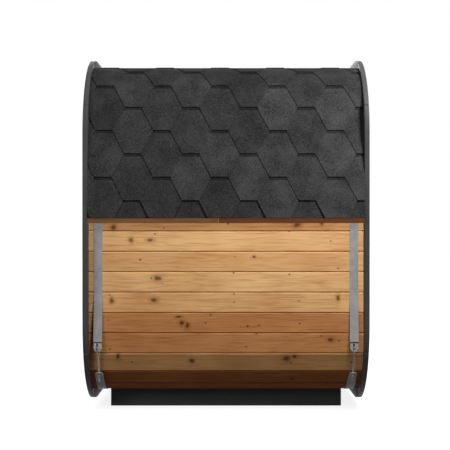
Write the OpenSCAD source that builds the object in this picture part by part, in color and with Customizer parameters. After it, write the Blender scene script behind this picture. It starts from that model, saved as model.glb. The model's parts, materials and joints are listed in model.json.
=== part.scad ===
// Cube sauna: a short barrel of horizontal staves with a rounded-square section, closed by two
// set-back end walls, held by two steel straps and capped by a sectioned collar at each end.
// Origin: centre of the footprint, on the ground. X runs from the rear (-) to the front, door end
// (+), -Y is the near side and Z is up.

/* [Body] */
// Length over the two end collars
length = 1643; // [1400:1:2400]
// Width over the staves
body_w = 1931; // [1700:1:2400]
// Height of the staves' outline, from the lowest stave to the highest
body_h = 1931; // [1900:1:2400]
// Outer radius of the staves' corners
body_r = 315; // [260:1:380]
// Thickness of the staves
stave_t = 42; // [28:1:60]

/* [End walls] */
// Thickness of the end walls
wall_t = 42; // [28:1:60]
// Distance from the ends of the staves to the middle of an end wall, which is also the strap's
wall_inset = 54.5; // [50:0.5:120]
// Clearance between an end wall and the staves around it
wall_fit = 0.3; // [0.1:0.1:0.9]

/* [Collars] */
// Thickness of a collar
collar_t = 28; // [18:1:45]
// How far a collar stands proud of the staves
collar_over = 68; // [30:1:100]
// Outer radius of a collar's corners
collar_r = 491; // [400:1:600]
// Angle of each corner arc that belongs to the piece beside it
collar_cut = 20.5; // [12:0.5:30]

/* [Roof] */
// Thickness of the shingle covering
sheet_t = 4; // [3:0.5:8]
// Gap between the ends of the covering and the collars
sheet_gap = 3.5; // [1:0.5:10]
// Angle by which the skirt leans out from the wall
skirt_flare = 9; // [6:0.5:12]
// Length of the straight skirt, down its slope
skirt_len = 644; // [400:1:800]

/* [Eaves] */
// Thickness of the eave board
fascia_t = 20; // [15:1:28]
// How far the eave board hangs below the edge of the covering
fascia_drop = 28; // [10:1:60]
// Height of the eave board above the edge of the covering
fascia_rise = 48; // [42:1:90]
// Set-back of the eave board's face from the edge of the covering
fascia_back = 6; // [2:0.5:20]
// Place along X where the eave board's two lengths meet
fascia_joint_x = -42; // [-400:1:400]
// Open joint between the eave board's two lengths
fascia_joint = 1.2; // [0.5:0.1:4]
// Height of the batten behind the eave board
batten_h = 36; // [24:1:40]
// Clearance between the battens and the straps beside them
batten_clear = 9; // [3:1:40]

/* [Straps] */
// Width of a strap
strap_w = 50; // [30:1:60]
// Thickness of a strap
strap_t = 1.2; // [0.8:0.1:2]
// Clearance over a strap where it runs below the roof covering
strap_clear = 0.3; // [0.1:0.1:0.6]
// Height above the lower corner arc at which a strap leaves the wall
strap_leave = 271; // [220:1:500]
// Overlap of a strap's straight runs with what they continue
strap_lap = 3; // [1:0.5:10]

/* [Tensioners] */
// Diameter of the threaded rod
rod_d = 10; // [8:1:14]
// Length of the threaded rod
rod_len = 230; // [200:1:300]
// Place of the middle of the rod round the lower corner, below the start of its arc
rod_angle = 24; // [18:1:30]
// Distance of the rod's axis from the staves at its middle
rod_stand = 12; // [11:0.5:20]
// Distance from the middle of the rod to the upper eye
eye_above = 100; // [85:1:105]
// Distance from the middle of the rod to the lower eye
eye_below = 62; // [50:1:80]
// Width of an eye
eye_w = 46; // [30:1:50]
// Width of an eye at its pointed end
eye_tip_w = 26; // [18:1:29]
// Length of an eye, from its pin to the strap
eye_len = 40; // [30:1:45]
// Length of an eye past its pin
eye_tip = 9; // [6:1:12]
// Thickness of an eye
eye_t = 10; // [6:1:12]
// Width across the flats of a nut
nut_w = 17; // [13:1:22]
// Height of a nut
nut_h = 8; // [6:1:12]

/* [Base] */
// Height of the base beams
base_h = 114; // [70:1:160]
// Width of the base beams
beam_w = 95; // [60:1:140]
// Length of the base frame
base_len = 1407; // [1100:1:1410]
// Width over the base frame's side beams
base_span = 1227; // [900:1:1300]
// Number of cross beams
cross_beams = 3; // [2:1:5]

/* [Door] */
// Width over the door frame
frame_w = 700; // [600:1:900]
// Height over the door frame
frame_h = 1700; // [1500:1:1720]
// Width of the door frame's bars
frame_bar = 45; // [35:1:70]
// Depth of the door frame
frame_depth = 60; // [50:1:70]
// Clearance around the door leaf
leaf_clear = 3; // [2:0.5:6]
// Thickness of the door leaf
leaf_t = 40; // [30:1:44]
// Width of the leaf's stiles and top rail
stile_w = 92; // [70:1:120]
// Height of the leaf's bottom rail
bottom_rail = 150; // [90:1:300]
// Thickness of the glass
glass_t = 8; // [6:1:10]
// Clearance around the glass
glass_fit = 0.3; // [0.1:0.1:0.9]
// Length of the door handle
handle_len = 460; // [200:1:700]
// Side of the door handle's square bar
handle_bar = 22; // [18:1:24]
// Distance from the leaf to the handle's bar, also the length of the handle's feet
handle_off = 26; // [20:1:28]
// Height of the middle of the handle above the ground
handle_z = 1090; // [900:1:1200]
// Height of a hinge
hinge_h = 90; // [60:1:140]
// Width of a hinge's leaves, over both
hinge_w = 66; // [50:1:80]
// Thickness of a hinge's leaves
hinge_t = 3; // [2:0.5:4]
// Diameter of a hinge's knuckle
knuckle_d = 13; // [10:1:18]

/* [Hidden] */
$fn = 96;

timber = "#c8965f";
timber_shaded = "#8a5a3a";
black_paint = "#3c3c3e";
black_base = "#2c2c2e";
bitumen = "#454547";
steel = "#a8a8a6";
dark_glass = "#50565a";

// The names of the two sides and of the two ends, with their signs along Y and X
SIDES = [["near", -1], ["far", 1]];
ENDS = [["front", 1], ["rear", -1]];

// The body's section, in Y and Z
half_w = body_w / 2;
mid_z = base_h + body_h / 2;
floor_z = base_h + stave_t;
inner_w = body_w - 2 * stave_t;
inner_h = body_h - 2 * stave_t;
inner_r = body_r - stave_t;
corner_y = half_w - body_r;
low_corner_z = base_h + body_r;
high_corner_z = base_h + body_h - body_r;
collar_w = body_w + 2 * collar_over;
collar_h = body_h + 2 * collar_over;

// Places along X
stave_end = length / 2 - collar_t;
wall_x = stave_end - wall_inset;
sheet_end = stave_end - sheet_gap;
batten_end = wall_x - strap_w / 2 - batten_clear;

// The skirt in Y and Z, on the far side: its inner face runs from skirt_top to skirt_foot
skirt_top = [corner_y + body_r * cos(skirt_flare), high_corner_z + body_r * sin(skirt_flare)];
skirt_down = [sin(skirt_flare), -cos(skirt_flare)];
skirt_out = [cos(skirt_flare), sin(skirt_flare)];
skirt_foot = skirt_top + skirt_len * skirt_down;
fascia_face = skirt_foot[0] - fascia_back;
fascia_top = skirt_foot[1] + fascia_rise;
function skirt_y(z) = skirt_top[0] + (skirt_top[1] - z) * tan(skirt_flare);
function skirt_z(y) = skirt_top[1] - (y - skirt_top[0]) / tan(skirt_flare);

// The tensioner in Y and Z, on the far side, with the strap's two straight runs to its eyes
corner = [corner_y, low_corner_z];
strap_r = body_r + strap_t / 2;
rod_mid = corner + (body_r + rod_stand) * [cos(rod_angle), -sin(rod_angle)];
rod_down = [-sin(rod_angle), -cos(rod_angle)];
upper_eye = rod_mid - eye_above * rod_down;
lower_eye = rod_mid + eye_below * rod_down;
leave = [half_w + strap_t / 2, low_corner_z + strap_leave];
upper_run = (upper_eye - leave) / norm(upper_eye - leave);
tangent_angle = rod_angle + atan2(eye_below, body_r + rod_stand)
    + acos(strap_r / norm(lower_eye - corner));
lower_run = [-sin(tangent_angle), -cos(tangent_angle)];
tangent = corner + strap_r * [cos(tangent_angle), -sin(tangent_angle)];
// Turn about X that brings a piece hanging straight down into the direction run
function hang(run) = [atan2(run[0], -run[1]), 0, 0];

// The door in Y and Z
door_top = floor_z + frame_h;
opening_w = frame_w - 2 * frame_bar;
opening_h = frame_h - 2 * frame_bar;
leaf_w = opening_w - 2 * leaf_clear;
leaf_h = opening_h - 2 * leaf_clear;
leaf_foot = floor_z + frame_bar + leaf_clear;
pane_w = leaf_w - 2 * stile_w;
pane_h = leaf_h - stile_w - bottom_rail;
pane_foot = leaf_foot + bottom_rail;
frame_front = wall_x + frame_depth / 2;
hinge_y = leaf_w / 2 + leaf_clear / 2;

// Extrudes a section drawn in Y and Z from x0 to x1
module along(x0, x1) {
    translate([x0, 0, 0]) rotate([90, 0, 90]) linear_extrude(x1 - x0) children();
}

// Draws on the far side what side = 1 asks for, and mirrors it to the near side for -1
module on_side(side) {
    if (side > 0) children();
    else mirror([0, 1, 0]) children();
}

module on_end(end) {
    if (end > 0) children();
    else mirror([1, 0, 0]) children();
}

// Rounded rectangle about the body's middle height
module rounded(w, h, r) {
    translate([0, mid_z]) {
        square([w, h - 2 * r], center = true);
        square([w - 2 * r, h], center = true);
        for (sy = [-1, 1], sz = [-1, 1])
            translate([sy * (w / 2 - r), sz * (h / 2 - r)]) circle(r = r);
    }
}

// Part of a ring between two angles less than half a turn apart
module ring_sector(r0, r1, a0, a1) {
    far = 2 * r1;
    mid = (a0 + a1) / 2;
    intersection() {
        difference() {
            circle(r = r1);
            circle(r = r0);
        }
        polygon([[0, 0], far * [cos(a0), sin(a0)], far * 2 * [cos(mid), sin(mid)],
                 far * [cos(a1), sin(a1)]]);
    }
}

// Thin bar of thickness t between two points, with square ends
module bar(from, to, t) {
    run = (to - from) / norm(to - from);
    out = t / 2 * [-run[1], run[0]];
    polygon([from + out, to + out, to - out, from - out]);
}

// Staves

module flat_staves(z0) {
    color(timber) translate([-stave_end, -corner_y, z0]) cube([2 * stave_end, 2 * corner_y, stave_t]);
}

module side_staves(side) {
    color(timber) on_side(side)
        translate([-stave_end, half_w - stave_t, low_corner_z])
            cube([2 * stave_end, stave_t, high_corner_z - low_corner_z]);
}

module corner_staves(side, level) {
    color(timber) on_side(side) along(-stave_end, stave_end)
        translate([corner_y, level > 0 ? high_corner_z : low_corner_z])
            mirror([0, level > 0 ? 0 : 1])
                ring_sector(inner_r, body_r, 0, 90);
}

// End walls

module wall_section() {
    rounded(inner_w - 2 * wall_fit, inner_h - 2 * wall_fit, inner_r - wall_fit);
}

module rear_wall() {
    color(timber) along(-wall_x - wall_t / 2, -wall_x + wall_t / 2) wall_section();
}

// One of the two parts of the front wall beside the door
module front_wall_beside(side) {
    color(timber) along(wall_x - wall_t / 2, wall_x + wall_t / 2) intersection() {
        wall_section();
        mirror([side > 0 ? 0 : 1, 0]) translate([frame_w / 2, 0]) square([body_w, 2 * body_h]);
    }
}

module front_wall_over_door() {
    color(timber) translate([wall_x - wall_t / 2, -frame_w / 2, door_top])
        cube([wall_t, frame_w, floor_z + inner_h - wall_fit - door_top]);
}

// Door

module door_frame() {
    color(timber) difference() {
        translate([frame_front - frame_depth, -frame_w / 2, floor_z])
            cube([frame_depth, frame_w, frame_h]);
        translate([frame_front - frame_depth - 1, -opening_w / 2, floor_z + frame_bar])
            cube([frame_depth + 2, opening_w, opening_h]);
    }
}

module door_leaf() {
    color(timber) difference() {
        translate([frame_front - leaf_t, -leaf_w / 2, leaf_foot]) cube([leaf_t, leaf_w, leaf_h]);
        translate([frame_front - leaf_t - 1, -pane_w / 2, pane_foot])
            cube([leaf_t + 2, pane_w, pane_h]);
    }
}

module door_glass() {
    color(dark_glass, 0.6)
        translate([frame_front - (leaf_t + glass_t) / 2, glass_fit - pane_w / 2, pane_foot + glass_fit])
            cube([glass_t, pane_w - 2 * glass_fit, pane_h - 2 * glass_fit]);
}

module hinge(z) {
    translate([frame_front, hinge_y, z - hinge_h / 2]) {
        translate([0, -hinge_w / 2, 0]) cube([hinge_t, hinge_w, hinge_h]);
        translate([hinge_t + knuckle_d / 2 - 1, 0, 0]) cylinder(d = knuckle_d, h = hinge_h);
    }
}

module door_hinges() {
    color(steel) for (z = [pane_foot + hinge_h, pane_foot + pane_h - hinge_h]) hinge(z);
}

module door_handle() {
    color(timber_shaded) translate([frame_front, -leaf_w / 2 + stile_w / 2, handle_z]) {
        translate([handle_off, -handle_bar / 2, -handle_len / 2])
            cube([handle_bar, handle_bar, handle_len]);
        for (s = [-1, 1])
            translate([0, -handle_bar / 2, s * (handle_len / 2 - handle_bar) - handle_bar / 2])
                cube([handle_off + 1, handle_bar, handle_bar]);
    }
}

// Collars: four side pieces, each with a stretch of arc at both ends, and four corner pieces

collar_corner = [collar_w / 2 - collar_r, collar_h / 2 - collar_r];
reach = 2 * collar_r;

module collar_section() {
    difference() {
        rounded(collar_w, collar_h, collar_r);
        rounded(inner_w, inner_h, inner_r);
    }
}

// Region of the piece that spans the side at right angles to the first axis of its own frame
module collar_side_region(a, b) {
    far = [a + reach * cos(collar_cut), b + reach * sin(collar_cut)];
    polygon([[a, b], far, [far[0], -far[1]], [a, -b]]);
}

module collar_corner_region() {
    polygon([collar_corner, collar_corner + reach * [cos(collar_cut), sin(collar_cut)],
             collar_corner + reach * [1, 1], collar_corner + reach * [sin(collar_cut), cos(collar_cut)]]);
}

module collar_piece(end) {
    color(black_paint) on_end(end) along(stave_end, stave_end + collar_t) intersection() {
        collar_section();
        translate([0, mid_z]) children();
    }
}

// Piece over, under or beside the opening; turn is 0 far, 90 top, 180 near, 270 bottom
module collar_side(end, turn) {
    upright = turn % 180 == 0;
    collar_piece(end) rotate(turn)
        collar_side_region(collar_corner[upright ? 0 : 1], collar_corner[upright ? 1 : 0]);
}

module collar_corner_piece(end, side, level) {
    collar_piece(end)
        mirror([side > 0 ? 0 : 1, 0]) mirror([0, level > 0 ? 0 : 1]) collar_corner_region();
}

// Roof covering, its skirts and the eaves

// Space that a strap and its clearance take up between the staves and the covering
module strap_channel(end) {
    on_end(end) along(wall_x - strap_w / 2 - strap_clear, wall_x + strap_w / 2 + strap_clear)
        difference() {
            rounded(body_w + 2 * strap_t + 2 * strap_clear, body_h + 2 * strap_t + 2 * strap_clear,
                    body_r + strap_t + strap_clear);
            rounded(body_w - stave_t, body_h - stave_t, body_r - stave_t / 2);
        }
}

module roof_covering() {
    color(bitumen) difference() {
        along(-sheet_end, sheet_end) {
            translate([-corner_y, base_h + body_h]) square([2 * corner_y, sheet_t]);
            for (s = [0, 1]) mirror([s, 0]) translate([corner_y, high_corner_z])
                ring_sector(body_r, body_r + sheet_t, skirt_flare, 90);
        }
        for (end = [-1, 1]) strap_channel(end);
    }
}

module roof_skirt(side) {
    color(bitumen) on_side(side) difference() {
        along(-sheet_end, sheet_end)
            polygon([skirt_top, skirt_foot, skirt_foot + sheet_t * skirt_out,
                     skirt_top + sheet_t * skirt_out]);
        for (end = [-1, 1]) strap_channel(end);
    }
}

module eave_board(side) {
    color(timber_shaded) on_side(side)
        for (span = [[-sheet_end, fascia_joint_x - fascia_joint / 2],
                     [fascia_joint_x + fascia_joint / 2, sheet_end]])
            along(span[0], span[1])
                polygon([[fascia_face - fascia_t, skirt_foot[1] - fascia_drop],
                         [fascia_face, skirt_foot[1] - fascia_drop],
                         [fascia_face, min(fascia_top, skirt_z(fascia_face))],
                         [min(fascia_face, skirt_y(fascia_top)), fascia_top],
                         [fascia_face - fascia_t, fascia_top]]);
}

module eave_batten(side) {
    color(timber) on_side(side)
        translate([-batten_end, half_w, skirt_foot[1]])
            cube([2 * batten_end, fascia_face - fascia_t - half_w, batten_h]);
}

// Straps

// One stretch of a strap, from its outline in Y and Z
module stretch() {
    along(wall_x - strap_w / 2, wall_x + strap_w / 2) children();
}

// Far side of a strap's loop: over the roof, round the upper corner, down the wall and out to the
// upper eye; then from the lower eye round the lower corner
module strap_side() {
    stretch() translate([corner_y, high_corner_z]) ring_sector(body_r, body_r + strap_t, 0, 90);
    stretch() translate([half_w, leave[1] - strap_lap])
        square([strap_t, high_corner_z - leave[1] + strap_lap]);
    stretch() bar(leave, upper_eye - eye_len * upper_run, strap_t);
    stretch() bar(lower_eye + eye_len * lower_run, tangent, strap_t);
    stretch() translate(corner)
        ring_sector(body_r, body_r + strap_t, -90, asin(strap_lap / body_r) - tangent_angle);
}

module strap(end) {
    color(steel) on_end(end) {
        for (z = [base_h - strap_t, base_h + body_h])
            stretch() translate([-corner_y, z]) square([2 * corner_y, strap_t]);
        for (side = [-1, 1]) on_side(side) strap_side();
    }
}

// Tensioners

// Tapered plate that hangs from its strap: its pin is at the origin and its strap end above
module eye() {
    rotate([90, 0, 0]) translate([0, 0, -eye_t / 2]) linear_extrude(eye_t)
        polygon([[-eye_w / 2, eye_len], [-eye_w / 2, eye_tip], [-eye_tip_w / 2, -eye_tip],
                 [eye_tip_w / 2, -eye_tip], [eye_w / 2, eye_tip], [eye_w / 2, eye_len]]);
}

module nut() {
    cylinder(d = nut_w / cos(30), h = nut_h, $fn = 6);
}

module tensioner(side, end) {
    color(steel) on_side(side) on_end(end) translate([wall_x, 0, 0]) {
        translate([0, upper_eye[0], upper_eye[1]]) rotate(hang(upper_run)) eye();
        translate([0, lower_eye[0], lower_eye[1]]) rotate(hang(-lower_run)) eye();
        translate([0, rod_mid[0], rod_mid[1]]) rotate(hang(rod_down)) {
            translate([0, 0, -rod_len / 2]) cylinder(d = rod_d, h = rod_len);
            translate([0, 0, eye_above - eye_tip - 2 * nut_h]) nut();
            translate([0, 0, -eye_below - eye_tip - nut_h]) nut();
        }
    }
}

// Base

module base_side_beam(side) {
    color(black_base) on_side(side)
        translate([-base_len / 2, base_span / 2 - beam_w, 0]) cube([base_len, beam_w, base_h]);
}

module base_cross_beams() {
    step = (base_len - beam_w) / (cross_beams - 1);
    inner = base_span - 2 * beam_w;
    color(black_base) for (i = [0 : cross_beams - 1])
        translate([-base_len / 2 + i * step, -inner / 2, 0]) cube([beam_w, inner, base_h]);
}

flat_staves(base_h);  // floor_staves
flat_staves(base_h + body_h - stave_t);  // roof_staves
rear_wall();
front_wall_beside(-1);  // front_wall_left
front_wall_beside(1);  // front_wall_right
front_wall_over_door();
door_frame();
door_leaf();
door_glass();
door_hinges();
door_handle();
roof_covering();
base_cross_beams();

for (s = SIDES) {
    side = s[1];
    side_staves(side);
    corner_staves(side, 1);
    corner_staves(side, -1);
    roof_skirt(side);
    eave_board(side);
    eave_batten(side);
    base_side_beam(side);
    for (e = ENDS)
        tensioner(side, e[1]);
}

for (e = ENDS) {
    collar = str(e[0], "_collar_");
    strap(e[1]);
    for (piece = [["far", 0], ["top", 90], ["near", 180], ["bottom", 270]])
        collar_side(e[1], piece[1]);
    for (s = SIDES, level = [["top", 1], ["bottom", -1]])
        collar_corner_piece(e[1], s[1], level[1]);
}
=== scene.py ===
"""Looks of the cube sauna: boards, shingles, collars, straps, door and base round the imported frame.

Every length is in metres, in the frame's own axes: X along the staves towards the door end,
-Y on the near side and Z up from the ground.
"""

import json
import logging
import math
import random
from dataclasses import dataclass, field
from enum import Enum
from typing import Callable, Iterable

import bmesh
import bpy
from mathutils import Matrix, Vector

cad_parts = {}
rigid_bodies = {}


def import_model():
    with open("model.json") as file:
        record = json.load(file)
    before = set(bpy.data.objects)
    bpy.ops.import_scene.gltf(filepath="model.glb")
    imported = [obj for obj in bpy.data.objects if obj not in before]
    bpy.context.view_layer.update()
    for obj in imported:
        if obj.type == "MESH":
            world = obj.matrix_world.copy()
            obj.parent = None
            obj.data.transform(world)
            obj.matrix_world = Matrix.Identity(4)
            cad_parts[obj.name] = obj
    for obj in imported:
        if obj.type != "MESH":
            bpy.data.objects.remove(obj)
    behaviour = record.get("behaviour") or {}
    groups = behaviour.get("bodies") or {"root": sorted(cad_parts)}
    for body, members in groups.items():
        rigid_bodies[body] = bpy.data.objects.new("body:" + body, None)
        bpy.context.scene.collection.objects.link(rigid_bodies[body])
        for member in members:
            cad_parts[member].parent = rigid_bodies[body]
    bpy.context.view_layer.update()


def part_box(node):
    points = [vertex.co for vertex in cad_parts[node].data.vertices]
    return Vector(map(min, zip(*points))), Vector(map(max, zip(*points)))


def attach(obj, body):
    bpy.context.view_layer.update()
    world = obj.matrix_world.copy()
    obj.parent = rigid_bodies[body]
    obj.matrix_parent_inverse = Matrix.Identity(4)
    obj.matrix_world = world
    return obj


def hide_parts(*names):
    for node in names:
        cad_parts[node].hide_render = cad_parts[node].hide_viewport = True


log = logging.getLogger("cube_sauna")

ROOT = "root"
Colour = tuple[float, float, float]


class Side(Enum):
    """The two long sides, by their sign along Y."""

    NEAR = -1
    FAR = 1


class End(Enum):
    """The two ends, by their sign along X."""

    REAR = -1
    FRONT = 1


# ---------------------------------------------------------------- shader helpers


class Val:
    """A number socket that Python arithmetic can be written on."""

    def __init__(self, tree: "Tree", socket: bpy.types.NodeSocket) -> None:
        """Keeps the socket and the tree that new nodes are added to."""
        self.tree = tree
        self.socket = socket

    def _math(self, operation: str, *values: "Val | float") -> "Val":
        """Adds one Math node."""
        return Val(self.tree, self.tree.node("ShaderNodeMath", {"operation": operation}, values)[0])

    def __add__(self, other: "Val | float") -> "Val":
        """self + other."""
        return self._math("ADD", self, other)

    __radd__ = __add__

    def __sub__(self, other: "Val | float") -> "Val":
        """self - other."""
        return self._math("SUBTRACT", self, other)

    def __rsub__(self, other: float) -> "Val":
        """other - self."""
        return self._math("SUBTRACT", other, self)

    def __mul__(self, other: "Val | float") -> "Val":
        """self * other."""
        return self._math("MULTIPLY", self, other)

    __rmul__ = __mul__

    def __truediv__(self, other: "Val | float") -> "Val":
        """self / other."""
        return self._math("DIVIDE", self, other)

    def __pow__(self, other: float) -> "Val":
        """self ** other."""
        return self._math("POWER", self, other)

    def least(self, other: "Val | float") -> "Val":
        """The smaller of two values."""
        return self._math("MINIMUM", self, other)

    def most(self, other: "Val | float") -> "Val":
        """The larger of two values."""
        return self._math("MAXIMUM", self, other)

    def sine(self) -> "Val":
        """Sine of a value in radians."""
        return self._math("SINE", self)

    def ramp(self, low: float, high: float, smooth: bool = True) -> "Val":
        """0 where the value is low, 1 where it is high.

        Args:
            low: value that gives 0; it may be more than high.
            high: value that gives 1.
            smooth: eased ends when true, straight ends when false.

        Returns:
            The new value, held between 0 and 1.
        """
        settings = {"interpolation_type": "SMOOTHSTEP" if smooth else "LINEAR"}
        if low > high:
            return 1 - self.ramp(high, low, smooth)
        return Val(self.tree, self.tree.node("ShaderNodeMapRange", settings, (self, low, high))[0])


class Tree:
    """A material's node tree with its Principled shader."""

    def __init__(self, name: str) -> None:
        """Makes an empty material with a Principled shader."""
        self.material = bpy.data.materials.new(name)
        self.material.use_nodes = True
        self.nodes = self.material.node_tree.nodes
        self.links = self.material.node_tree.links
        self.shader = self.nodes["Principled BSDF"]

    def put(self, socket: bpy.types.NodeSocket, value: object) -> None:
        """Links a socket to the socket's input, or sets its own value."""
        if isinstance(value, Val):
            value = value.socket
        if isinstance(value, bpy.types.NodeSocket):
            self.links.new(value, socket)
        elif isinstance(value, tuple) and len(value) == 3 and socket.type == "RGBA":
            socket.default_value = (*value, 1.0)
        else:
            socket.default_value = value

    def node(self, kind: str, settings: dict[str, object] | None = None,
             inputs: dict[str, object] | Iterable[object] = ()) -> bpy.types.NodeOutputs:
        """Adds a node.

        Args:
            kind: the node's type.
            settings: its properties, which are set first.
            inputs: values or links of its sockets, by name or in order.

        Returns:
            The node's outputs.
        """
        made = self.nodes.new(kind)
        for key, value in (settings or {}).items():
            setattr(made, key, value)
        pairs = inputs.items() if isinstance(inputs, dict) else enumerate(inputs)
        for key, value in pairs:
            if value is not None:
                self.put(made.inputs[key], value)
        return made.outputs

    def place(self) -> bpy.types.NodeSocket:
        """Object coordinates."""
        return self.node("ShaderNodeTexCoord")["Object"]

    def attribute(self, name: str) -> Val:
        """A number stored on the mesh."""
        return Val(self, self.node("ShaderNodeAttribute", {"attribute_name": name})["Fac"])

    def axes(self, vector: bpy.types.NodeSocket) -> tuple[Val, Val, Val]:
        """The three parts of a vector."""
        parts = self.node("ShaderNodeSeparateXYZ", None, (vector,))
        return Val(self, parts[0]), Val(self, parts[1]), Val(self, parts[2])

    def vector(self, x: object, y: object, z: object) -> bpy.types.NodeSocket:
        """A vector from three values."""
        return self.node("ShaderNodeCombineXYZ", None, (x, y, z))[0]

    def move(self, vector: bpy.types.NodeSocket, operation: str, *others: object) -> bpy.types.NodeSocket:
        """One Vector Math node."""
        return self.node("ShaderNodeVectorMath", {"operation": operation}, (vector, *others))[0]

    def noise(self, vector: bpy.types.NodeSocket, scale: float, detail: float = 3.0,
              roughness: float = 0.55) -> Val:
        """Noise about 0.5."""
        inputs = {"Vector": vector, "Scale": scale, "Detail": detail, "Roughness": roughness}
        return Val(self, self.node("ShaderNodeTexNoise", None, inputs)["Fac"])

    def cells(self, vector: bpy.types.NodeSocket, scale: float) -> tuple[Val, Val]:
        """Voronoi cells: the distance to the nearest point, and a random number a cell."""
        made = self.node("ShaderNodeTexVoronoi", None, {"Vector": vector, "Scale": scale})
        return Val(self, made["Distance"]), self.axes(made["Color"])[0]

    def blend(self, share: Val | float, low: object, high: object, how: str = "MIX") -> bpy.types.NodeSocket:
        """Mixes two colours."""
        settings = {"data_type": "RGBA", "blend_type": how}
        made = self.nodes.new("ShaderNodeMix")
        for key, value in settings.items():
            setattr(made, key, value)
        for index, value in ((0, share), (6, low), (7, high)):
            self.put(made.inputs[index], value)
        return made.outputs[2]

    def bump(self, height: Val, distance: float, strength: float = 1.0) -> None:
        """Feeds the shader's normal from a height."""
        inputs = {"Height": height, "Distance": distance, "Strength": strength}
        self.put(self.shader.inputs["Normal"], self.node("ShaderNodeBump", None, inputs)[0])

    def finish(self, colour: object, roughness: object, **others: object) -> bpy.types.Material:
        """Sets the shader's colour, roughness and any other sockets, and returns the material."""
        self.put(self.shader.inputs["Base Color"], colour)
        self.put(self.shader.inputs["Roughness"], roughness)
        for name, value in others.items():
            self.put(self.shader.inputs[name.replace("_", " ").title().replace("Ior", "IOR")], value)
        return self.material


# ---------------------------------------------------------------- finishes


@dataclass(frozen=True)
class Knot:
    """One large knot on the long walls: its place along X and Z, and its half sizes."""

    x: float
    z: float
    wide: float
    tall: float


@dataclass(frozen=True)
class BoardFinish:
    """Oiled softwood boards: early and late wood, streaks and knots."""

    name: str
    pale: Colour = (0.70, 0.405, 0.175)
    deep: Colour = (0.50, 0.245, 0.092)
    streak: Colour = (0.36, 0.165, 0.06)
    knot: Colour = (0.085, 0.033, 0.013)
    knots: tuple[Knot, ...] = ()
    upright: bool = False
    roughness: float = 0.55

    def knot_distance(self, tree: Tree, place: bpy.types.NodeSocket, wobble: Val) -> Val:
        """Distance from the nearest large knot, in knot sizes, with a ragged edge."""
        x, _, z = tree.axes(place)
        flat = tree.vector(x, 0.0, z)
        nearest: Val | None = None
        for knot in self.knots:
            scale = (1 / knot.wide, 1.0, 1 / knot.tall)
            shift = (-knot.x / knot.wide, 0.0, -knot.z / knot.tall)
            local = tree.move(flat, "MULTIPLY_ADD", scale, shift)
            length = Val(tree, tree.node("ShaderNodeVectorMath", {"operation": "LENGTH"}, (local,))["Value"])
            nearest = length if nearest is None else nearest.least(length)
        return nearest + (wobble - 0.5) * 1.5

    def make(self) -> bpy.types.Material:
        """Builds the material.

        Returns:
            The material, which reads the mesh's "tone" and "shift" numbers.
        """
        tree = Tree(self.name)
        place = tree.place()
        shift = tree.attribute("shift")
        tone = tree.attribute("tone")
        moved = tree.move(place, "ADD", tree.vector(shift * 3.7, shift * 1.3, shift * 2.1))
        long_scale = (1.0, 1.0, 0.03) if self.upright else (0.03, 1.0, 1.0)
        slow_scale = (1.0, 1.0, 0.09) if self.upright else (0.09, 1.0, 1.0)
        along = tree.move(moved, "MULTIPLY", long_scale)
        slow = tree.move(moved, "MULTIPLY", slow_scale)
        fine = tree.noise(along, 130.0, 5.0, 0.62)
        rings = tree.noise(slow, 15.0, 3.0)
        bands = ((rings * 46.0).sine() * 0.5 + 0.5) ** 2.0
        blotch = tree.noise(moved, 3.1, 2.0)
        colour = tree.blend(bands * 0.42 + (fine - 0.5) * 2.2, self.pale, self.deep)
        colour = tree.blend(fine.ramp(0.58, 0.74) * 0.5, colour, self.streak)
        ragged = tree.noise(moved, 46.0, 3.0)
        small, chance = tree.cells(tree.move(moved, "MULTIPLY", (0.8, 1.0, 1.0)), 16.0)
        dots = (small + (ragged - 0.5) * 0.06).ramp(0.115, 0.045) * chance.ramp(0.30, 0.36)
        colour = tree.blend(dots * 0.85, colour, self.knot)
        if self.knots:
            far = self.knot_distance(tree, place, ragged)
            halo = far.ramp(2.6, 0.9)
            colour = tree.blend(halo * 0.45, colour, self.streak)
            colour = tree.blend(far.ramp(1.25, 0.35) * 0.8, colour, self.knot)
        depth = tone * (blotch.ramp(0.2, 0.8) * 0.22 + 0.89)
        warmth = tree.vector(depth, depth ** 1.65, depth ** 2.05)
        colour = tree.blend(1.0, colour, warmth, "MULTIPLY")
        tree.bump(fine * 0.6 + bands * 0.2, 0.0006, 0.5)
        return tree.finish(colour, fine * 0.2 + self.roughness, Specular_Ior_Level=0.04)


@dataclass(frozen=True)
class PaintFinish:
    """Satin paint over planed wood, with faint grain and soft worn patches."""

    name: str
    colour: Colour
    worn: Colour
    roughness: float = 0.42
    grain: float = 0.5

    def make(self) -> bpy.types.Material:
        """Builds the material."""
        tree = Tree(self.name)
        place = tree.place()
        fine = tree.noise(tree.move(place, "MULTIPLY", (1.0, 0.12, 0.12)), 300.0, 4.0)
        cloud = tree.noise(place, 5.0, 4.0)
        colour = tree.blend(cloud.ramp(0.35, 0.75) * 0.6 + (fine - 0.5) * 0.5, self.colour, self.worn)
        tree.bump(fine + cloud * 0.3, 0.0005, self.grain)
        return tree.finish(colour, cloud * 0.22 + self.roughness - 0.08, Specular_Ior_Level=0.07)


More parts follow.
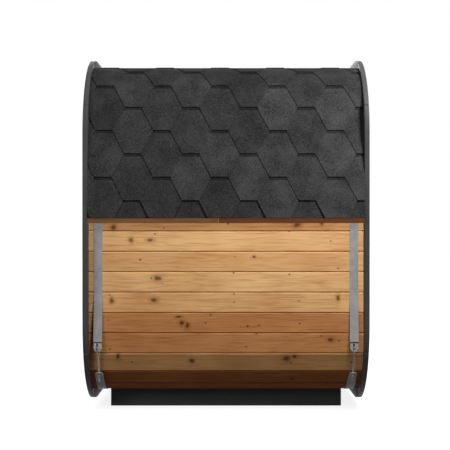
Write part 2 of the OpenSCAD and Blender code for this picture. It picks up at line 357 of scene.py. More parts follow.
@dataclass(frozen=True)
class GranuleFinish:
    """Charcoal mineral granules on bitumen, with a darker band under each tab above: partly a printed band of
    darker granules, partly painted shade under that tab.
    """

    name: str
    dark: Colour = (0.0115, 0.0115, 0.0118)
    light: Colour = (0.085, 0.085, 0.087)
    course: float = 0.137

    def make(self) -> bpy.types.Material:
        """Builds the material, which reads the mesh's "tone" number."""
        tree = Tree(self.name)
        place = tree.place()
        size, speck = tree.cells(place, 420.0)
        coarse = tree.noise(place, 150.0, 4.0, 0.7)
        cloud = tree.noise(place, 9.0, 3.0)
        share = coarse.ramp(0.34, 0.68) * 0.36 + speck.ramp(0.6, 1.0) * 0.30 + (cloud - 0.5) * 0.6
        colour = tree.blend(share, self.dark, self.light)
        # Painted shade: the granules darken in a band at the top of each tab, just under the tab above, on top
        # of a printed band of darker granules.
        run = tree.attribute("shift") + (coarse - 0.5) * 0.004
        tone = tree.attribute("tone") * (1 - run.ramp(2 * self.course - 0.022, 2 * self.course - 0.014) * 0.55)
        colour = tree.blend(1.0, colour, tree.vector(tone, tone, tone), "MULTIPLY")
        tree.bump(coarse + size * 0.6, 0.0016, 0.8)
        return tree.finish(colour, 0.9, Specular_Ior_Level=0.08)


@dataclass(frozen=True)
class SteelFinish:
    """Dull rolled or galvanised steel with fine marks along the strip."""

    name: str
    bright: Colour = (0.325, 0.322, 0.315)
    dull: Colour = (0.25, 0.248, 0.244)
    roughness: float = 0.46
    metallic: float = 0.06

    def make(self) -> bpy.types.Material:
        """Builds the material."""
        tree = Tree(self.name)
        place = tree.place()
        marks = tree.noise(tree.move(place, "MULTIPLY", (1.0, 0.05, 0.05)), 700.0, 3.0)
        cloud = tree.noise(place, 22.0, 4.0)
        colour = tree.blend(cloud.ramp(0.3, 0.7) * 0.7 + (marks - 0.5) * 0.5, self.bright, self.dull)
        tree.bump(marks, 0.0002, 0.4)
        return tree.finish(colour, cloud * 0.2 + self.roughness - 0.1, Metallic=self.metallic,
                           Specular_Ior_Level=0.06)


@dataclass(frozen=True)
class GlassFinish:
    """Bronze-grey toughened glass."""

    name: str
    tint: Colour = (0.42, 0.40, 0.37)

    def make(self) -> bpy.types.Material:
        """Builds the material."""
        tree = Tree(self.name)
        smear = tree.noise(tree.place(), 2.0, 2.0)
        return tree.finish(self.tint, smear * 0.05 + 0.01, Transmission_Weight=1.0, Ior=1.46)


# ---------------------------------------------------------------- mesh helpers


def finished(name: str, bm: bmesh.types.BMesh, material: bpy.types.Material,
             replaced: Iterable[str] = (), smooth: float = 32.0) -> bpy.types.Object:
    """Turns a bmesh into a piece that rides on the body.

    Args:
        name: the piece's name.
        bm: its shape in the frame's axes, which is freed.
        material: its finish.
        replaced: CAD nodes that it stands for.
        smooth: edges sharper than this angle in degrees stay sharp.

    Returns:
        The new object.
    """
    mesh = bpy.data.meshes.new(name)
    bm.to_mesh(mesh)
    bm.free()
    mesh.materials.append(material)
    mesh.shade_smooth()
    mesh.set_sharp_from_angle(angle=math.radians(smooth))
    piece = bpy.data.objects.new(name, mesh)
    bpy.context.scene.collection.objects.link(piece)
    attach(piece, ROOT)
    replaced = list(replaced)
    if replaced:
        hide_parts(*replaced)
    log.info("%s: %d faces, for %s", name, len(mesh.polygons), ", ".join(replaced) or "nothing")
    return piece


def joined(parts: Iterable[bmesh.types.BMesh]) -> bmesh.types.BMesh:
    """One bmesh with all the parts, which are freed."""
    whole = bmesh.new()
    for name in ("tone", "shift"):
        whole.verts.layers.float.new(name)
    for part in parts:
        mesh = bpy.data.meshes.new("part")
        part.to_mesh(mesh)
        part.free()
        whole.from_mesh(mesh)
        bpy.data.meshes.remove(mesh)
    return whole


def marked(bm: bmesh.types.BMesh, tone: float, shift: float) -> bmesh.types.BMesh:
    """Stores one tone and one shift of the grain on every vertex of a part."""
    for name, value in (("tone", tone), ("shift", shift)):
        layer = bm.verts.layers.float.get(name) or bm.verts.layers.float.new(name)
        for vert in bm.verts:
            vert[layer] = value
    return bm


def prism(outline: list[tuple[float, float]], x0: float, x1: float) -> bmesh.types.BMesh:
    """Extrudes an outline in Y and Z from x0 to x1."""
    bm = bmesh.new()
    face = bm.faces.new([bm.verts.new((x0, y, z)) for y, z in outline])
    made = bmesh.ops.extrude_face_region(bm, geom=[face])["geom"]
    moved = [g for g in made if isinstance(g, bmesh.types.BMVert)]
    bmesh.ops.translate(bm, verts=moved, vec=(x1 - x0, 0, 0))
    bmesh.ops.recalc_face_normals(bm, faces=bm.faces)
    return bm


def block(low: Vector, high: Vector) -> bmesh.types.BMesh:
    """A box between two corners."""
    bm = bmesh.new()
    bmesh.ops.create_cube(bm, size=1.0)
    bmesh.ops.scale(bm, verts=bm.verts, vec=high - low)
    bmesh.ops.translate(bm, verts=bm.verts, vec=(high + low) / 2)
    return bm


def rounded_edges(bm: bmesh.types.BMesh, width: float, segments: int = 2,
                  wanted: Callable[[bmesh.types.BMEdge], bool] | None = None) -> bmesh.types.BMesh:
    """Bevels the sharp edges of a closed shape.

    Args:
        bm: the shape.
        width: the bevel's width.
        segments: 1 for a chamfer, more for a round.
        wanted: a test that an edge has to pass; sharper than 25 degrees when None.

    Returns:
        The same bmesh.
    """
    test = wanted or (lambda edge: edge.is_manifold and edge.calc_face_angle(0.0) > math.radians(25))
    edges = [edge for edge in bm.edges if test(edge)]
    bmesh.ops.bevel(bm, geom=edges, offset=width, segments=segments, profile=0.5, affect="EDGES",
                    material=-1, clamp_overlap=True)
    return bm


def node_shape(node: str) -> bmesh.types.BMesh:
    """A merged copy of a CAD node's mesh with its flat faces made whole."""
    bm = bmesh.new()
    bm.from_mesh(bpy.data.objects[node].data)
    bmesh.ops.remove_doubles(bm, verts=bm.verts, dist=1e-6)
    bmesh.ops.dissolve_limit(bm, angle_limit=math.radians(0.5), verts=bm.verts, edges=bm.edges)
    return bm


def cylinder(radius: float, length: float, sides: int = 24) -> bmesh.types.BMesh:
    """A closed cylinder about Z, centred on the origin."""
    bm = bmesh.new()
    bmesh.ops.create_cone(bm, cap_ends=True, segments=sides, radius1=radius, radius2=radius,
                          depth=length)
    return bm


def cut_between(bm: bmesh.types.BMesh, axis: Vector, low: float, high: float) -> bmesh.types.BMesh:
    """Keeps what lies between two planes across an axis, and closes the cuts."""
    for level, sign in ((low, -1), (high, 1)):
        geom = bm.verts[:] + bm.edges[:] + bm.faces[:]
        made = bmesh.ops.bisect_plane(bm, geom=geom, dist=1e-6, plane_co=axis * level,
                                      plane_no=axis * sign, clear_outer=True)["geom_cut"]
        edges = [g for g in made if isinstance(g, bmesh.types.BMEdge) and g.is_boundary]
        if edges:
            bmesh.ops.holes_fill(bm, edges=edges, sides=0)
    bmesh.ops.recalc_face_normals(bm, faces=bm.faces)
    return bm


# ---------------------------------------------------------------- the body's section


@dataclass
class Section:
    """The rounded-square section of the staves, read from the frame."""

    half_w: float = field(init=False)
    corner_y: float = field(init=False)
    top: float = field(init=False)
    bottom: float = field(init=False)
    radius: float = field(init=False)
    thick: float = field(init=False)
    end: float = field(init=False)

    def __post_init__(self) -> None:
        """Reads the sizes from the boxes of the staves."""
        roof_low, roof_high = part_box("roof_staves")
        floor_low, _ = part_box("floor_staves")
        wall_low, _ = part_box("near_side_staves")
        self.half_w = -wall_low.y
        self.corner_y = roof_high.y
        self.top = roof_high.z
        self.bottom = floor_low.z
        self.radius = self.half_w - self.corner_y
        self.thick = roof_high.z - roof_low.z
        self.end = roof_high.x

    @property
    def low_corner(self) -> float:
        """Height of the lower corners' centres."""
        return self.bottom + self.radius

    @property
    def high_corner(self) -> float:
        """Height of the upper corners' centres."""
        return self.top - self.radius

    @property
    def girth(self) -> float:
        """Length once round the outside."""
        flats = 4 * self.corner_y + 2 * (self.high_corner - self.low_corner)
        return flats + 2 * math.pi * self.radius

    def point(self, run: float) -> tuple[Vector, Vector]:
        """A point of the outline and the way out of it, in Y and Z.

        Args:
            run: distance down the near wall from its upper corner arc, then under the floor, up
                the far wall and over the roof.

        Returns:
            The point and the unit vector that points outwards.
        """
        run %= self.girth
        wall = self.high_corner - self.low_corner
        floor = 2 * self.corner_y
        arc = math.pi / 2 * self.radius
        y, z, r = self.corner_y, self.low_corner, self.radius
        stretches = (
            (wall, Vector((-self.half_w, self.high_corner)), Vector((0, -1)), None),
            (arc, None, None, (-y, z, 180.0)),
            (floor, Vector((-y, self.bottom)), Vector((1, 0)), None),
            (arc, None, None, (y, z, 270.0)),
            (wall, Vector((self.half_w, z)), Vector((0, 1)), None),
            (arc, None, None, (y, self.high_corner, 0.0)),
            (floor, Vector((y, self.top)), Vector((-1, 0)), None),
            (arc, None, None, (-y, self.high_corner, 90.0)),
        )
        for length, start, way, turn in stretches:
            if run <= length or turn == stretches[-1][3]:
                break
            run -= length
        if turn is None:
            return start + way * run, Vector((way.y, -way.x))
        angle = math.radians(turn[2]) + run / r
        out = Vector((math.cos(angle), math.sin(angle)))
        return Vector(turn[:2]) + out * r, out


# ---------------------------------------------------------------- sub-assemblies


@dataclass
class Staves:
    """Sixty-one flat boards round the section, with milled edges."""

    section: Section
    material: bpy.types.Material | None = None
    boards: int = 61
    first_joint: float = 0.662
    gap: float = 0.0005
    chamfer: float = 0.0052
    corner_bevel: float = 0.0165
    # Tones of the first boards down the near wall: partly each board's own tone, partly painted shade that
    # darkens the boards towards the lower corner, most of all the last two.
    tones_and_painted_shade: tuple[float, ...] = (1.02, 0.92, 1.01, 0.94, 0.66, 0.68, 0.83, 0.50, 0.32)

    def board(self, index: int) -> bmesh.types.BMesh:
        """One board, between two joints of the outline."""
        pitch = self.section.girth / self.boards
        start = self.first_joint + index * pitch
        (a, out_a), (b, out_b) = self.section.point(start), self.section.point(start + pitch)
        along = (b - a).normalized() * self.gap
        a, b = a + along, b - along
        thick = self.section.thick
        bm = prism([tuple(a), tuple(b), tuple(b - out_b * thick), tuple(a - out_a * thick)],
                   -self.section.end, self.section.end)
        middle = (a + b) / 2
        out = (out_a + out_b).normalized()

        def outer(edge: bmesh.types.BMEdge) -> bool:
            """True for the two long edges on the weather side."""
            mid = (edge.verts[0].co + edge.verts[1].co) / 2
            lies_out = (Vector(mid.yz) - middle).dot(out) > -thick / 3
            return lies_out and abs(edge.verts[0].co.x - edge.verts[1].co.x) > 0.1

        rounded_edges(bm, self.chamfer, 1, outer)
        rng = random.Random(100 + index)
        tone = self.tones_and_painted_shade[index] if index < len(self.tones_and_painted_shade) else rng.uniform(0.84, 1.03)
        return marked(bm, tone, rng.uniform(-9, 9))

    def build(self) -> None:
        """Builds all the boards as one joined piece for each quarter of the section."""
        quarters: dict[str, list[bmesh.types.BMesh]] = {}
        pitch = self.section.girth / self.boards
        for index in range(self.boards):
            middle, _ = self.section.point(self.first_joint + (index + 0.5) * pitch)
            height = middle.y
            if abs(middle.x) <= self.section.corner_y:
                group = "roof" if height > 1 else "floor"
            else:
                group = "near_wall" if middle.x < 0 else "far_wall"
            quarters.setdefault(group, []).append(self.board(index))
        nodes = {
            "roof": ["roof_staves"],
            "floor": ["floor_staves"],
            "near_wall": ["near_side_staves", "near_lower_corner_staves", "near_upper_corner_staves"],
            "far_wall": ["far_side_staves", "far_lower_corner_staves", "far_upper_corner_staves"],
        }
        for group, parts in quarters.items():
            finished(f"{group}_boards", joined(parts), self.material, nodes[group], 20)


@dataclass
class RoofLine:
    """The line of the roof covering on one side, from the eave to the middle of the roof."""

    section: Section
    eave: Vector = field(init=False)
    flare: float = field(init=False)
    skirt: float = field(init=False)

    def __post_init__(self) -> None:
        """Finds the skirt from the frame: it touches the corner arc and ends at the eave."""
        low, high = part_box("far_roof_skirt")
        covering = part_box("roof_covering")[1].z - self.section.top
        centre = Vector((self.section.corner_y, self.section.high_corner))
        foot = Vector((high.y, low.z)) - centre
        reach = self.section.radius + covering
        self.flare = math.atan2(foot.y, foot.x) + math.acos(reach / foot.length)
        out = Vector((math.cos(self.flare), math.sin(self.flare)))
        self.skirt = math.sqrt(foot.length ** 2 - reach ** 2)
        self.eave = centre + out * self.section.radius + Vector((out.y, -out.x)) * self.skirt

    @property
    def arc(self) -> float:
        """Length of the corner arc above the skirt."""
        return (math.pi / 2 - self.flare) * self.section.radius

    @property
    def length(self) -> float:
        """Length from the eave to the middle of the roof."""
        return self.skirt + self.arc + self.section.corner_y

    def point(self, run: float, lift: float) -> Vector:
        """A point over the line, in Y and Z, on the far side.

        Args:
            run: distance from the eave up the line.
            lift: distance out from the staves' surface.

        Returns:
            The point.
        """
        up = Vector((-math.sin(self.flare), math.cos(self.flare)))
        if run <= self.skirt:
            return self.eave + up * run + Vector((up.y, -up.x)) * lift
        run -= self.skirt
        if run <= self.arc:
            angle = self.flare + run / self.section.radius
            out = Vector((math.cos(angle), math.sin(angle)))
            return Vector((self.section.corner_y, self.section.high_corner)) + out * (self.section.radius + lift)
        run -= self.arc
        return Vector((self.section.corner_y - run, self.section.top + lift))


@dataclass
class Shingles:
    """Hexagonal bitumen tabs in overlapping courses on both slopes, with a ridge strip."""

    line: RoofLine
    material: bpy.types.Material
    pitch: float = 0.3333
    flat: float = 0.097
    course: float = 0.137
    first: float = 0.102
    centre: float = -0.703
    thick: float = 0.0034
    underlay: float = 0.001
    headlap: float = 0.026
    bend: float = 0.022

    @property
    def end(self) -> float:
        """Half length of the shingles, which close the gap up to the collars."""
        return self.line.section.end - 0.0005

    def lift(self, run: float) -> float:
        """Height of a course's underside over the underlay, at a distance from its lower edge."""
        strip = 2 * self.course + self.headlap
        return 2.8 * self.thick * max(0.0, 1 - run / strip)

    def strip(self, index: int, rng: random.Random) -> bmesh.types.BMesh:
        """One course laid flat: X, distance from the eave, and height over the underlay."""
        bm = bmesh.new()
        tone = bm.verts.layers.float.new("tone")
        bm.verts.layers.float.new("shift")
        low = self.first + index * self.course
        top = min(low + 2 * self.course + self.headlap, self.line.length)
        middle = min(low + self.course, top)
        half = self.flat / 2
        wide = (self.pitch - self.flat) / 2
        offset = self.centre + (self.pitch / 2 if index % 2 == 0 else 0.0)
        first = math.floor((-self.end - offset) / self.pitch) - 1
        for number in range(first, first + int(2 * self.end / self.pitch) + 4):
            x = offset + number * self.pitch
            shade = rng.uniform(0.80, 1.22)
            quads = (
                ((x - half, low), (x + half, low), (x + wide, middle), (x - wide, middle)),
                ((x - wide, middle), (x + wide, middle), (x + wide, top), (x - wide, top)),
                ((x + wide, middle), (x + self.pitch - wide, middle), (x + self.pitch - wide, top),
                 (x + wide, top)),
            )
            for quad in quads:
                verts = [bm.verts.new((px, py, 0.0)) for px, py in quad]
                for vert in verts:
                    vert[tone] = shade
                bm.faces.new(verts)
        self.trim(bm, max(low, 0.0), top)
        return bm

    def trim(self, bm: bmesh.types.BMesh, low: float, top: float) -> None:
        """Cuts a course to the roof's length and eave, adds loops to bend it at, and thickens it."""
        planes = [((self.end, 0, 0), (1, 0, 0), True), ((-self.end, 0, 0), (-1, 0, 0), True),
                  ((0, low, 0), (0, -1, 0), True), ((0, top, 0), (0, 1, 0), True)]
        loops = int((top - low) / self.bend)
        planes += [((0, low + (i + 1) * self.bend, 0), (0, 1, 0), False) for i in range(loops)]
        for place, way, clear in planes:
            bmesh.ops.bisect_plane(bm, geom=bm.verts[:] + bm.edges[:] + bm.faces[:], dist=1e-6,
                                   plane_co=place, plane_no=way, clear_outer=clear)
        made = bmesh.ops.extrude_face_region(bm, geom=bm.faces[:])["geom"]
        moved = [g for g in made if isinstance(g, bmesh.types.BMVert)]
        bmesh.ops.translate(bm, verts=moved, vec=(0, 0, self.thick))

    def lay(self, bm: bmesh.types.BMesh, low: float, side: Side) -> bmesh.types.BMesh:
        """Bends a flat course over the roof line of one side."""
        shift = bm.verts.layers.float["shift"]
        for vert in bm.verts:
            vert[shift] = vert.co.y - low
            height = self.underlay + self.lift(vert.co.y - low) + vert.co.z
            place = self.line.point(vert.co.y, height)
            vert.co = (vert.co.x, side.value * place.x, place.y)
        bmesh.ops.recalc_face_normals(bm, faces=bm.faces)
        return bm

    def slope(self, side: Side) -> None:
        """Builds the courses of one side."""
        rng = random.Random(7 + side.value)
        count = int((self.line.length - self.first) / self.course)
        parts = []
        for index in range(-1, count + 1):
            low = self.first + index * self.course
            parts.append(self.lay(self.strip(index, rng), low, side))
        name = side.name.lower()
        replaced = [f"{name}_roof_skirt"] + (["roof_covering"] if side is Side.NEAR else [])
        finished(f"{name}_shingles", joined(parts), self.material, replaced, 25)

    def ridge(self) -> None:
        """Builds the ridge strip: short caps that overlap along the roof."""
        rng = random.Random(21)
        parts = []
        step, half = self.course, 0.125
        base = self.line.section.top + self.underlay + 3.4 * self.thick
        count = math.ceil(2 * self.end / step)
        for index in range(count):
            x0 = -self.end + index * step
            x1 = min(x0 + step * 1.6, self.end)
            cap = block(Vector((x0, -half, base)), Vector((x1, half, base + self.thick)))
            slope = self.thick * 1.2
            for vert in cap.verts:
                vert.co.z += slope * (1 - (vert.co.x - x0) / (step * 1.6))
            parts.append(marked(cap, rng.uniform(0.88, 1.12), 0.0))
        finished("ridge_caps", joined(parts), self.material)

    def underside(self) -> None:
        """Builds the thin felt under the shingles, which shows at the eaves and the ends."""
        parts = []
        steps = 40
        for side in Side:
            runs = [self.line.length * i / steps for i in range(steps + 1)]
            top = [self.line.point(run, self.underlay) for run in runs]
            low = [self.line.point(run, -0.0002) for run in reversed(runs)]
            for a, b, c, d in zip(top, top[1:], low[::-1][1:], low[::-1]):
                outline = [(side.value * p.x, p.y) for p in (a, b, c, d)]
                parts.append(marked(prism(outline, -self.end, self.end), 0.8, 0.0))
        finished("roof_felt", joined(parts), self.material, (), 10)

    def build(self) -> None:
        """Builds the felt, both slopes and the ridge."""
        self.underside()
        for side in Side:
            self.slope(side)
        self.ridge()


@dataclass
class Collars:
    """The painted sections that frame each end, with eased edges."""

    material: bpy.types.Material
    edge: float = 0.003

    def build(self) -> None:
        """Builds one piece for each CAD section."""
        for node in sorted(n for n in self.names()):
            bm = rounded_edges(node_shape(node), self.edge)
            finished(f"{node}_board", bm, self.material, [node])

    @staticmethod
    def names() -> list[str]:
        """The collar nodes of both ends."""
        places = ("top", "bottom", "near", "far", "near_top_corner", "near_bottom_corner",
                  "far_top_corner", "far_bottom_corner")
        return [f"{end.name.lower()}_collar_{place}" for end in End for place in places]


@dataclass
class EndWalls:
    """The two end walls, cut into upright boards."""

    material: bpy.types.Material
    pitch: float = 0.1183
    chamfer: float = 0.004
    gap: float = 0.0004

    def planks(self, node: str, seed: int) -> bmesh.types.BMesh:
        """Cuts one wall node into boards."""
        low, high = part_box(node)
        rng = random.Random(seed)
        parts = []
        first = math.floor(low.y / self.pitch)
        for number in range(first, math.ceil(high.y / self.pitch)):
            y0 = max(number * self.pitch + self.gap, low.y - 1)
            y1 = (number + 1) * self.pitch - self.gap
            if min(y1, high.y) - max(y0, low.y) < 0.004:
                continue
            bm = cut_between(node_shape(node), Vector((0, 1, 0)), y0, y1)

            def milled(edge: bmesh.types.BMEdge) -> bool:
                """True for a long upright edge of the weather or room side."""
                a, b = (vert.co for vert in edge.verts)
                upright = abs(a.z - b.z) > 0.05 and abs(a.y - b.y) < 1e-5
                return upright and edge.is_manifold and edge.calc_face_angle(0.0) > 1.0

            rounded_edges(bm, self.chamfer, 1, milled)
            parts.append(marked(bm, rng.uniform(0.86, 1.04), rng.uniform(-9, 9)))
        return joined(parts)

    def build(self) -> None:
        """Builds the rear wall and the three parts of the front wall."""
        for seed, node in enumerate(("rear_wall", "front_wall_left", "front_wall_right",
                                     "front_wall_over_door")):
            finished(f"{node}_boards", self.planks(node, seed), self.material, [node], 20)


@dataclass
class Door:
    """The door's frame, leaf, pane, hinges and handle."""

    wood: bpy.types.Material
    rail_wood: bpy.types.Material
    dark_wood: bpy.types.Material
    glass: bpy.types.Material
    black: bpy.types.Material
    seal: bpy.types.Material
    edge: float = 0.003

    def bars(self, node: str, upright: float, seed: int) -> None:
        """Splits a rectangular frame node into two stiles and two rails and eases their edges."""
        low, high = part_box(node)
        hole_low, hole_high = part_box("door_leaf" if node == "door_frame" else "door_glass")
        margin = upright
        y0, y1 = hole_low.y - margin, hole_high.y + margin
        z0, z1 = hole_low.z - margin, hole_high.z + margin
        pieces = (
            (Vector(low), Vector((high.x, y0, high.z)), self.wood),
            (Vector((low.x, y1, low.z)), Vector(high), self.wood),
            (Vector((low.x, y0 + 0.0004, low.z)), Vector((high.x, y1 - 0.0004, z0)), self.rail_wood),
            (Vector((low.x, y0 + 0.0004, z1)), Vector((high.x, y1 - 0.0004, high.z)), self.rail_wood),
        )
        for label, material, chosen in (("stiles", self.wood, pieces[:2]),
                                        ("rails", self.rail_wood, pieces[2:])):
            parts = [marked(rounded_edges(block(a, b), self.edge), 0.94 + 0.04 * i, seed + i * 2.3)
                     for i, (a, b, _) in enumerate(chosen)]
            finished(f"{node}_{label}", joined(parts), material,
                     [node] if label == "stiles" else [])

    def pane(self) -> None:
        """Builds the glass and the dark seal round it."""
        low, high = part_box("door_glass")
        finished("door_pane", rounded_edges(block(low, high), 0.001), self.glass, ["door_glass"])
        leaf_low, leaf_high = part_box("door_leaf")
        bead = 0.009
        parts = []
        for front in (low.x - 0.006, high.x):
            x0, x1 = front, front + 0.006
            for a, b in (((low.y, low.z), (low.y + bead, high.z)), ((high.y - bead, low.z), (high.y, high.z)),
                         ((low.y + bead, low.z), (high.y - bead, low.z + bead)),
                         ((low.y + bead, high.z - bead), (high.y - bead, high.z))):
                parts.append(rounded_edges(block(Vector((x0, *a)), Vector((x1, *b))), 0.001))
        finished("glazing_seals", joined(parts), self.seal)

    def fittings(self) -> None:
        """Builds the hinges with their screws, and the handle."""
        low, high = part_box("door_hinges")
        parts = [rounded_edges(node_shape("door_hinges"), 0.0008)]
        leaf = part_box("door_leaf")[1].x
        height = 0.09
        for base in (low.z, high.z - height):
            for y in (low.y + 0.011, high.y - 0.011):
                for z in (base + 0.016, base + height / 2, base + height - 0.016):
                    screw = cylinder(0.0045, 0.002, 16)
                    bmesh.ops.rotate(screw, verts=screw.verts, matrix=Matrix.Rotation(math.pi / 2, 3, "Y"))
                    bmesh.ops.translate(screw, verts=screw.verts, vec=(leaf + 0.0035, y, z))
                    parts.append(rounded_edges(screw, 0.0005))
        finished("hinges", joined(parts), self.black, ["door_hinges"])
        handle = marked(rounded_edges(node_shape("door_handle"), 0.004, 3), 1.0, 3.0)
        finished("handle", handle, self.dark_wood, ["door_handle"])

    def build(self) -> None:
        """Builds every part of the door."""
        self.bars("door_frame", 0.003, 4)
        self.bars("door_leaf", 0.0003, 9)
        self.pane()
        self.fittings()


@dataclass
class Eaves:
    """The boards under the edge of the shingles, dark brown with painted shade, and the battens behind them."""

    board: bpy.types.Material
    batten: bpy.types.Material

    def build(self) -> None:
        """Builds both sides."""
        for side in Side:
            name = side.name.lower()
            bm = marked(rounded_edges(node_shape(f"{name}_eave_board"), 0.001, 1), 1.0, 2.0)
            layer = bm.verts.layers.float["tone"]
            middle = self.joint_x(bm)
            for vert in bm.verts:
                vert[layer] = 1.28 if vert.co.x < middle else 0.9
            finished(f"{name}_eave_strip", bm, self.board, [f"{name}_eave_board"])
            bm = marked(rounded_edges(node_shape(f"{name}_eave_batten"), 0.002), 0.8, 5.0)
            finished(f"{name}_packer", bm, self.batten, [f"{name}_eave_batten"])

    @staticmethod
    def joint_x(bm: bmesh.types.BMesh) -> float:
        """Place along X of the joint between the board's two lengths."""
        ends = sorted(vert.co.x for vert in bm.verts)
        inner = [x for x in ends if ends[0] + 0.1 < x < ends[-1] - 0.1]
        return sum(inner) / len(inner)


@dataclass
class Tensioner:
    """One tightener at a lower corner: two tapered eyes, a threaded rod and its nuts."""

    section: Section
    side: Side
    end: End
    steel: bpy.types.Material
    dark: bpy.types.Material
    rod_angle: float = math.radians(24)
    rod_stand: float = 0.012
    rod_length: float = 0.230
    rod_radius: float = 0.005
    thread_pitch: float = 0.0024
    eye_above: float = 0.100
    eye_below: float = 0.062
    eye_half: float = 0.023
    tip_half: float = 0.013
    eye_length: float = 0.040
    eye_tip: float = 0.009
    plate: float = 0.004
    rim: float = 0.0036
    nut: float = 0.017
    nut_height: float = 0.008
    strap_leave: float = 0.271

    @property
    def node(self) -> str:
        """The CAD node that this tightener stands for."""
        return f"{self.side.name.lower()}_{self.end.name.lower()}_tensioner"

    def placed(self, bm: bmesh.types.BMesh, place: Vector, up: Vector) -> bmesh.types.BMesh:
        """Moves a part from its own axes to the frame.

        Args:
            bm: a part with Z up its length and Y out of the wall.
            place: its origin in Y and Z on the far side.
            up: direction of its Z in Y and Z.

        Returns:
            The same bmesh.
        """
        low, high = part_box(self.node)
        turn = Matrix(((1, 0, 0), (0, up.y, up.x), (0, -up.x, up.y)))
        for vert in bm.verts:
            spot = turn @ vert.co
            vert.co = ((low.x + high.x) / 2 + spot.x, self.side.value * (place.x + spot.y),
                       place.y + spot.z)
        bmesh.ops.recalc_face_normals(bm, faces=bm.faces)
        return bm

    def eye_plate(self) -> bmesh.types.BMesh:
        """A tapered plate with its strap end up."""
        bm = bmesh.new()
        outline = ((-self.eye_half, self.eye_length), (-self.eye_half, self.eye_tip),
                   (-self.tip_half, -self.eye_tip), (self.tip_half, -self.eye_tip),
                   (self.eye_half, self.eye_tip), (self.eye_half, self.eye_length))
        face = bm.faces.new([bm.verts.new((x, -self.plate / 2, z)) for x, z in outline])
        made = bmesh.ops.extrude_face_region(bm, geom=[face])["geom"]
        moved = [g for g in made if isinstance(g, bmesh.types.BMVert)]
        bmesh.ops.translate(bm, verts=moved, vec=(0, self.plate, 0))
        bmesh.ops.recalc_face_normals(bm, faces=bm.faces)
        return rounded_edges(bm, 0.0008)

    def eye_rim(self) -> list[bmesh.types.BMesh]:
        """The round bead along the plate's tapered edges."""
        corners = [Vector((-self.eye_half, 0, self.eye_tip + 0.004)), Vector((-self.tip_half, 0, -self.eye_tip)),
                   Vector((self.tip_half, 0, -self.eye_tip)), Vector((self.eye_half, 0, self.eye_tip + 0.004))]
        bars = []
        for a, b in zip(corners, corners[1:]):
            bar = rounded_edges(cylinder(self.rim, (b - a).length + self.rim, 12), 0.001)
            turn = (b - a).to_track_quat("Z", "Y").to_matrix()
            bmesh.ops.rotate(bar, verts=bar.verts, matrix=turn)
            bmesh.ops.translate(bar, verts=bar.verts, vec=(a + b) / 2)
            bars.append(bar)
        return bars

    def threaded_rod(self) -> bmesh.types.BMesh:
        """A rod with its thread as rings, closed at both ends."""
        bm = bmesh.new()
        count = int(self.rod_length / self.thread_pitch) * 2
        heights = [self.rod_length * (i / count - 0.5) for i in range(count + 1)]
        verts = [bm.verts.new((0, 0, heights[0]))]
        verts += [bm.verts.new((self.rod_radius * (1.0 if i % 2 else 0.84), 0, z))
                  for i, z in enumerate(heights)]
        verts.append(bm.verts.new((0, 0, heights[-1])))
        edges = [bm.edges.new(pair) for pair in zip(verts, verts[1:])]
        bmesh.ops.spin(bm, geom=verts + edges, cent=(0, 0, 0), axis=(0, 0, 1), angle=2 * math.pi,
                       steps=12, use_merge=True)
        bmesh.ops.remove_doubles(bm, verts=bm.verts, dist=1e-5)
        return bm

    def hex_nut(self) -> bmesh.types.BMesh:
        """A chamfered hexagon nut about Z."""
        return rounded_edges(cylinder(self.nut / math.sqrt(3), self.nut_height, 6), 0.001, 1)

    def build(self) -> None:
        """Builds the tightener in place of its CAD node, with black blocks as painted shadow in its gaps and
        hollows.
        """
        sec = self.section
        out = Vector((math.cos(self.rod_angle), -math.sin(self.rod_angle)))
        corner = Vector((sec.corner_y, sec.low_corner))
        middle = corner + out * (sec.radius + self.rod_stand)
        down = Vector((-math.sin(self.rod_angle), -math.cos(self.rod_angle)))
        upper, lower = middle - down * self.eye_above, middle + down * self.eye_below
        leave = Vector((sec.half_w, sec.low_corner + self.strap_leave))
        hang = (leave - upper).normalized()
        tangent = (self.rod_angle + math.atan2(self.eye_below, sec.radius + self.rod_stand)
                   + math.acos(sec.radius / (lower - corner).length))
        pull = Vector((-math.sin(tangent), -math.cos(tangent)))
        parts = [self.placed(self.threaded_rod(), middle, -down)]
        for place, way in ((upper, hang), (lower, pull)):
            parts.append(self.placed(self.eye_plate(), place, way))
            parts += [self.placed(bar, place, way) for bar in self.eye_rim()]
        for shift in (self.eye_above - self.eye_tip - 1.5 * self.nut_height,
                      -self.eye_below - self.eye_tip - 0.5 * self.nut_height):
            parts.append(self.placed(self.hex_nut(), middle - down * shift, -down))
        finished(f"{self.node}_set", joined(parts), self.steel, [self.node])
        # Black blocks on the eyes are painted shadow: the dark of a groove and of the slot on the upper eye, and
        # of the hollow on the lower eye.
        groove_shadow = block(Vector((-0.007, 0.001, -0.006)), Vector((0.001, 0.0034, 0.034)))
        slot = block(Vector((-0.0245, 0.001, 0.037)), Vector((0.0245, 0.0034, 0.043)))
        shade = block(Vector((-0.007, 0.001, -0.004)), Vector((0.001, 0.0034, 0.014)))
        dark = [self.placed(rounded_edges(groove_shadow, 0.0004), upper, hang),
                self.placed(rounded_edges(slot, 0.0006), upper, hang),
                self.placed(rounded_edges(shade, 0.0004), lower, pull)]
        finished(f"{self.node}_slots", joined(dark), self.dark)


@dataclass
class Straps:
    """The two steel straps."""

    steel: bpy.types.Material

    def build(self) -> None:
        """Dresses the CAD straps, whose shape is right."""
        for end in End:
            node = bpy.data.objects[f"{end.name.lower()}_strap"]
            node.data.materials.clear()
            node.data.materials.append(self.steel)


@dataclass
class Base:
    """The black beams under the floor."""

    material: bpy.types.Material

    def build(self) -> None:
        """Eases the beams' edges and paints them."""
        for node in ("base_near_beam", "base_far_beam", "base_cross_beams"):
            bm = rounded_edges(node_shape(node), 0.003)
            finished(f"{node}_timber", bm, self.material, [node])


# ---------------------------------------------------------------- studio


